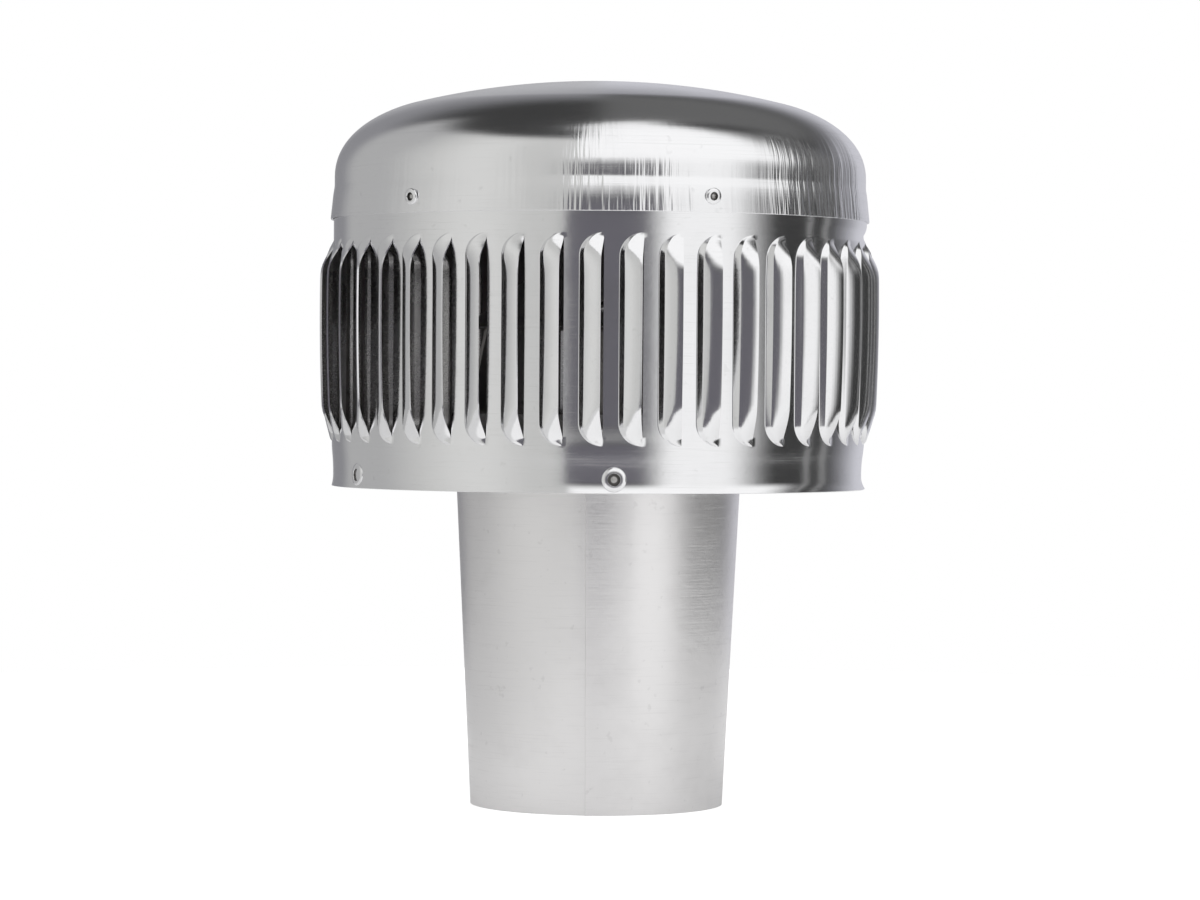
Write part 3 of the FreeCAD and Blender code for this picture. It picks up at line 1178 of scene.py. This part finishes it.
@dataclass
class Deflector(SubAssembly):
    """The cone over the collar's mouth, on the frame's own strap legs."""

    rim_radius: float = 52.0 * MM
    rim: float = 183.0 * MM
    slope: float = math.radians(38.0)
    nose_radius: float = 6.0 * MM
    nose_pull: float = 0.2
    nose_steps: int = 6
    sheet: float = 0.6 * MM
    rows: int = 12
    sides: int = 144
    legs: tuple[str, ...] = ("leg_front", "leg_right", "leg_left")

    def build(self, effects: Effects) -> None:
        """Builds the cone and dresses the legs.

        Args:
            effects: The shared node groups.
        """
        grade, nose = math.tan(self.slope), self.nose_radius
        nose_height = self.rim + (self.rim_radius - nose) * grade
        tip = nose_height + nose * grade / 2
        poles = [
            (nose / 4, tip),
            (nose / 2, tip),
            (nose * (1 - self.nose_pull), nose_height + nose * self.nose_pull * grade),
            (nose, nose_height),
        ]
        skin = [(0.0, tip), *bezier(poles, self.nose_steps)]
        for radius in evenly(nose, self.rim_radius, self.rows)[1:]:
            skin.append((radius, self.rim + (self.rim_radius - radius) * grade))
        mesh = turned("deflector_cone", sheet_section(skin, self.sheet), even_angles(self.sides))
        strap = STRAP_METAL.material(effects)
        for leg in self.legs:
            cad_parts[leg].data.materials.clear()
            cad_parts[leg].data.materials.append(strap)
            log.info("%s: the frame's own strap, dressed", leg)
        placed(mesh, ["cone_deflector"], self.finishes(effects, DULL_METAL))


# A broken pin's ends, as shares of its radius and millimetres above its top and above its foot
PIN_TOP = ((0.0, 0.15), (0.55, 0.1), (1.0, -0.1))
PIN_FOOT = ((1.0, 0.0), (0.7, -0.05), (0.0, -0.08))


@dataclass(frozen=True)
class RivetSize:
    """The measures of a set blind rivet and the pin left in it."""

    head_radius: float
    head_height: float
    shank_radius: float
    bore_radius: float
    recess_radius: float
    recess_depth: float
    pin_depth: float
    rim_share: float = 0.32
    shoulder_share: float = 0.86
    head_steps: int = 8
    edge: float = 0.1 * MM
    lip: float = 0.12 * MM
    lip_depth: float = 0.14 * MM
    lip_share: float = 0.99
    recess_foot_share: float = 0.94
    tail: float = 2.3 * MM
    bulb_share: float = 1.4
    bulb_start: float = 0.2
    bulb_end: float = 0.6
    pin_share: float = 0.96
    sides: int = 32

    @property
    def head_points(self) -> int:
        """How many points bound the head's outside: its curve, the recess's edge and the seat's edge."""
        return self.head_steps + 3

    def body(self, grip: float) -> list[Point]:
        """The closed section of the rivet's body.

        Args:
            grip: The thickness of what the rivet holds.

        Returns:
            Its points, with the seat at height 0.
        """
        crown, head, recess = self.head_height, self.head_radius, self.recess_radius
        rim, shoulder = self.rim_share * crown, self.shoulder_share * head
        poles = [(recess + self.lip, crown), (shoulder, crown), (head, rim * 2), (head, rim)]
        bulb = self.bulb_share * self.shank_radius
        return [
            (recess, crown - self.edge),
            *bezier(poles, self.head_steps),
            (head - self.edge, 0.0),
            (self.shank_radius, 0.0),
            (self.shank_radius, -grip),
            (bulb, -grip - self.bulb_start * self.tail),
            (bulb, -grip - self.bulb_end * self.tail),
            (self.shank_radius, -grip - self.tail),
            (self.bore_radius, -grip - self.tail),
            (self.bore_radius, crown - self.recess_depth),
            (self.recess_foot_share * recess, crown - self.recess_depth),
            (self.lip_share * recess, crown - self.lip_depth),
        ]

    def pin(self, grip: float) -> list[Point]:
        """The section of the broken pin.

        Args:
            grip: The thickness of what the rivet holds.

        Returns:
            Its points, closed on the rivet's own axis.
        """
        radius = self.bore_radius * self.pin_share
        ends = ((self.head_height - self.pin_depth, PIN_TOP), (-grip - self.tail, PIN_FOOT))
        return [(share * radius, end + rise * MM) for end, form in ends for share, rise in form]


SMALL_RIVET = RivetSize(3.05 * MM, 1.0 * MM, 1.6 * MM, 0.84 * MM, 1.5 * MM, 0.9 * MM, 0.55 * MM)
LARGE_RIVET = RivetSize(4.5 * MM, 1.3 * MM, 2.4 * MM, 1.24 * MM, 2.3 * MM, 1.2 * MM, 0.9 * MM)


@dataclass
class RivetRow:
    """One row of like rivets and their pins."""

    name: str
    size: RivetSize
    seat: float
    heights: Sequence[float]
    angles: Sequence[float]
    grip: float
    tilt: float = 0.0

    def places(self) -> list[Matrix]:
        """Where each rivet sits.

        Returns:
            One matrix for each, which turns the rivet's own +Z outward.
        """
        made = []
        for height in self.heights:
            for angle in self.angles:
                turn = Matrix.Rotation(angle, 4, "Z") @ Matrix.Rotation(math.pi / 2 - self.tilt, 4, "X")
                made.append(Matrix.Translation(at(self.seat, angle, height)) @ turn)
        return made

    def repeated(self, name: str, section: Sequence[Point], skin_points: int = 0) -> bpy.types.Mesh:
        """A small turned form copied to every place of the row.

        Args:
            name: The mesh's name.
            section: The form's section.
            skin_points: How many of its points bound the first finish, 0 for all.

        Returns:
            One mesh with all the copies.
        """
        one = turned(name + "_one", section, even_angles(self.size.sides), skin_points)
        shape = bmesh.new()
        for place in self.places():
            copy = one.copy()
            copy.transform(place)
            shape.from_mesh(copy)
            bpy.data.meshes.remove(copy)
        bpy.data.meshes.remove(one)
        return finished(name, shape)

    def build(self, body: bpy.types.Material, recess: bpy.types.Material, pin: bpy.types.Material) -> None:
        """Builds the row's rivets and pins as two pieces.

        Args:
            body: The rivets' finish.
            recess: The finish of their recesses, shanks and tails, dark as painted shade in the recesses.
            pin: The pins' finish.
        """
        bodies = self.repeated(self.name + "_heads", self.size.body(self.grip), self.size.head_points)
        pins = self.repeated(self.name + "_broken_pins", self.size.pin(self.grip))
        placed(bodies, [self.name + "_rivets"], [body, recess])
        placed(pins, [self.name + "_rivet_pins"], [pin])


@dataclass
class Rivets(SubAssembly):
    """All six rows of rivets."""

    row_count: int = 5
    row_step: float = 8 * FULL_TURN / Skirt.places
    rim_angle: float = math.radians(23.35)
    base_angle: float = math.radians(3.2)
    seam_angle: float = (
        Skirt.first_slit + Skirt.blank_place * FULL_TURN / Skirt.places - Skirt.width / Skirt.radius / 2
    )
    leg_angles: tuple[float, ...] = (0.0, FULL_TURN / 3, FULL_TURN * 2 / 3)
    collar_angles: tuple[float, ...] = (FULL_TURN / 6, FULL_TURN / 2, FULL_TURN * 5 / 6)
    band_tilt: float = math.radians(-5.0)
    collar_tilt: float = math.atan(Collar.taper)
    cone_tilt: float = math.radians(52.0)

    def row_angles(self, first: float) -> list[float]:
        """The angles of a row that starts on the right and goes round to the left."""
        return [first - step * self.row_step for step in range(self.row_count)]

    def rows(self) -> list[RivetRow]:
        """All rows.

        Returns:
            The rows, each with its name, size, seat, heights, angles, grip and tilt.
        """
        small, large = SMALL_RIVET, LARGE_RIVET
        rim, base = self.row_angles(self.rim_angle), self.row_angles(self.base_angle)
        return [
            RivetRow("rim", small, 103.05 * MM, [229.6 * MM], rim, 1.9 * MM, self.band_tilt),
            RivetRow("base", large, 101.1 * MM, [126.9 * MM], base, 1.9 * MM),
            RivetRow("seam", small, 101.1 * MM, [150 * MM, 178 * MM, 206 * MM], [self.seam_angle], 1.3 * MM),
            RivetRow("collar", small, 56.8 * MM, [130 * MM], self.collar_angles, 2.4 * MM),
            RivetRow("leg_foot", small, 56.1 * MM, [142 * MM], self.leg_angles, 2.8 * MM, self.collar_tilt),
            RivetRow("leg_head", small, 41.88 * MM, [190.91 * MM], self.leg_angles, 2.2 * MM, self.cone_tilt),
        ]

    def build(self, effects: Effects) -> None:
        """Builds all rivets and pins.

        Args:
            effects: The shared node groups.
        """
        # The rivets' recesses take the dark finish, which is painted shade.
        metals = self.finishes(effects, RIVET_METAL, RECESS_SHADE_METAL, PIN_METAL)
        for row in self.rows():
            row.build(*metals)


# Studio


@dataclass(frozen=True)
class Card:
    """A card that stands round the cap, as metal sees it, in degrees from the cap.

    Its softness is that of its left, right, lower and upper edge, in degrees.
    """

    left: float
    right: float
    low: float
    high: float
    tone: Colour
    softness: tuple[float, float, float, float]


STUDIO_CARDS = (
    Card(-185, 185, -14, 95, grey(0.042), (1, 1, 8, 1)),
    Card(120, 185, 34, 95, grey(0.13), (20, 1, 14, 1)),
    Card(-185, -134, -95, 40, grey(0.26, 0.06), (1, 6, 1, 26)),
    Card(-220, -171, -95, 24, grey(0.50, 0.04), (1, 18, 1, 16)),
    Card(134, 220, -95, 24, grey(0.62, 0.08), (46, 1, 1, 22)),
    Card(-140, -14, -95, 53, grey(0.44), (14, 3, 1, 10)),
    Card(-92, -14, -95, 55, grey(0.60, -0.02), (34, 16, 1, 10)),
    Card(-70, -38, -95, 50, grey(0.72, -0.02), (28, 26, 1, 12)),
    Card(-14, 22, -95, 5, (0.135, 0.13, 0.15), (3, 14, 1, 13)),
    Card(24, 68, -95, 30, grey(0.98), (16, 28, 1, 8)),
    Card(100, 103, -20, 56, grey(0.32), (2, 2, 6, 12)),
    Card(111, 116, -20, 50, grey(0.26), (3, 2, 6, 12)),
    Card(-32, 128, 76, 95, grey(0.8), (16, 24, 10, 1)),
    Card(-13, 90, 12, 84, grey(1.05), (3, 26, 18, 10)),
)

# Each lamp's name, angle from the front, angle above the horizon and share of the power
LAMPS = (("key lamp", 35, 48, 1.0), ("left lamp", -70, 40, 0.7))


@dataclass
class Studio:
    """The floor, the light and the surroundings that the metal mirrors."""

    fill: float = 0.8
    lamp_power: float = 6.0
    lamp_size: float = 0.9
    lamp_distance: float = 1.3
    lamp_aim: float = 0.14
    floor_radius: float = 0.75
    floor_sides: int = 128
    floor_speckle: Noise = Noise(60.0, 3.0)
    # The floor's left side takes darker tones as painted shade, fading in across the edge below.
    floor_shade_edge: Point = (-0.22, -0.14)
    floor_shaded_left: Point = (0.54, 0.58)
    floor_right: Point = (0.74, 0.78)
    floor_roughness: float = 0.9
    floor_sheen: float = 0.1
    floor_glow: float = 0.55
    mirrored_glow: float = 0.04

    def card_mask(self, wires: Wiring, side: Socket, rise: Socket, card: Card) -> Socket:
        """How much of a card shows in a direction.

        Args:
            wires: The world's wiring.
            side: The direction's angle from the front, in degrees.
            rise: Its angle above the horizon, in degrees.
            card: The card.

        Returns:
            The share from 0 to 1.
        """
        left, right, low, high = (softness / 2 for softness in card.softness)
        across = wires.window(
            side, (card.left - left, card.left + left), (card.right + right, card.right - right)
        )
        upright = wires.window(rise, (card.low - low, card.low + low), (card.high + high, card.high - high))
        return wires.times(across, upright)

    def surroundings(self) -> None:
        """Builds the world: white to camera, glass and metal, an even fill to the rest.

        The cards stand before the white, and only metal sees them.
        """
        world = bpy.data.worlds.new("studio")
        bpy.context.scene.world = world
        world.use_nodes = True
        wires = Wiring(world.node_tree)
        background = world.node_tree.nodes["Background"].inputs
        path = wires.node("LightPath")
        seen = wires.most(path["Is Camera Ray"], path["Is Transmission Ray"])
        seen = wires.most(seen, path["Is Glossy Ray"])
        colour = wires.tint(seen, grey(self.fill), grey(1.0))
        x, y, z = wires.parts(wires.place("Generated"))
        side = wires.math("DEGREES", wires.bearing(x, y))
        rise = wires.math("DEGREES", wires.math("ARCSINE", z))
        for card in STUDIO_CARDS:
            mask = wires.times(self.card_mask(wires, side, rise, card), path["Is Glossy Ray"])
            colour = wires.tint(mask, colour, card.tone)
        wires.feed(background["Color"], colour)
        wires.feed(background["Strength"], 1.0)

    def floor(self) -> None:
        """Lays the pale floor, whose left side is darker as painted shade, and which glows a little."""
        shape = bmesh.new()
        bmesh.ops.create_circle(shape, cap_ends=True, segments=self.floor_sides, radius=self.floor_radius)
        mesh = finished("floor", shape)
        material, wires, shader = new_material("pale floor")
        place = wires.place()
        speckle = wires.noise(place, self.floor_speckle)
        left, right = (
            wires.tint(speckle, grey(dark), grey(pale)) for dark, pale in (self.floor_shaded_left, self.floor_right)
        )
        # Painted shade: the left of the floor, away from the key lamp, takes the darker tones.
        lit_side = wires.ramp(wires.parts(place)[0], *self.floor_shade_edge)
        wires.feed(shader["Base Color"], wires.tint(lit_side, left, right))
        wires.feed(shader["Roughness"], self.floor_roughness)
        wires.feed(shader["Specular IOR Level"], self.floor_sheen)
        path = wires.node("LightPath")
        mirrored = wires.most(path["Is Glossy Ray"], path["Is Transmission Ray"])
        mirrored = wires.times(mirrored, self.mirrored_glow)
        wires.feed(
            shader["Emission Strength"],
            wires.most(wires.times(path["Is Camera Ray"], self.floor_glow), mirrored),
        )
        wires.feed(shader["Emission Color"], grey(1.0))
        mesh.materials.append(material)
        piece = shown("floor", mesh)

    def lamp(self, name: str, side: float, rise: float, power: float) -> None:
        """Hangs a soft lamp that faces the cap.

        Args:
            name: The lamp's name.
            side: Its angle from the front, in degrees.
            rise: Its angle above the horizon, in degrees.
            power: Its power in watts.
        """
        light = bpy.data.lights.new(name, "AREA")
        light.energy = power
        light.size = self.lamp_size
        lamp = shown(name, light)
        level = math.radians(rise)
        way = at(math.cos(level), math.radians(side), math.sin(level))
        lamp.location = Vector((0, 0, self.lamp_aim)) + way * self.lamp_distance
        lamp.rotation_mode = "QUATERNION"
        lamp.rotation_quaternion = way.to_track_quat("Z", "Y")
        lamp.visible_glossy = False

    def build(self) -> None:
        """Builds the whole studio."""
        self.surroundings()
        self.floor()
        for name, side, rise, share in LAMPS:
            self.lamp(name, side, rise, self.lamp_power * share)
        log.info("studio: %d cards, %d lamps, floor", len(STUDIO_CARDS), len(LAMPS))


@dataclass
class PhotoCamera:
    """The camera at the photograph's angle, which sees a frame of 1200 by 900."""

    frame_width: float = 1200.0
    distance: float = 1.56
    height: float = 160.5 * MM
    focal_pixels: float = 4050.0
    axis_column: float = 598.5
    horizon_row: float = 386.5
    centre_column: float = 600.0
    centre_row: float = 450.0
    roll: float = math.radians(0.4)
    sensor: float = 36.0

    def build(self) -> None:
        """Builds the camera and sets it as the scene's own."""
        data = bpy.data.cameras.new("photo camera")
        data.sensor_width = self.sensor
        data.lens = self.focal_pixels / self.frame_width * self.sensor
        camera = shown("photo camera", data)
        down = math.atan((self.centre_row - self.horizon_row) / self.focal_pixels)
        turn = math.atan((self.axis_column - self.centre_column) / self.focal_pixels)
        camera.location = (0.0, -self.distance, self.height)
        tilt = Matrix.Rotation(math.pi / 2 - down, 4, "X")
        camera.rotation_mode = "QUATERNION"
        aim = Matrix.Rotation(turn, 4, "Z") @ tilt @ Matrix.Rotation(self.roll, 4, "Z")
        camera.rotation_quaternion = aim.to_quaternion()
        bpy.context.scene.camera = camera


def main() -> None:
    """Builds the cap's pieces, the studio and the camera."""
    logging.basicConfig(level=logging.INFO, format="%(name)s: %(message)s")
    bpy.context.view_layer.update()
    effects = Effects()
    for part in (Dome(), Skirt(), Collar(), Pan(), Deflector(), Rivets()):
        part.build(effects)
    Studio().build()
    PhotoCamera().build()
    bpy.context.scene.view_settings.view_transform = "Standard"
    bpy.context.view_layer.update()


if __name__ == "__main__":
    main()
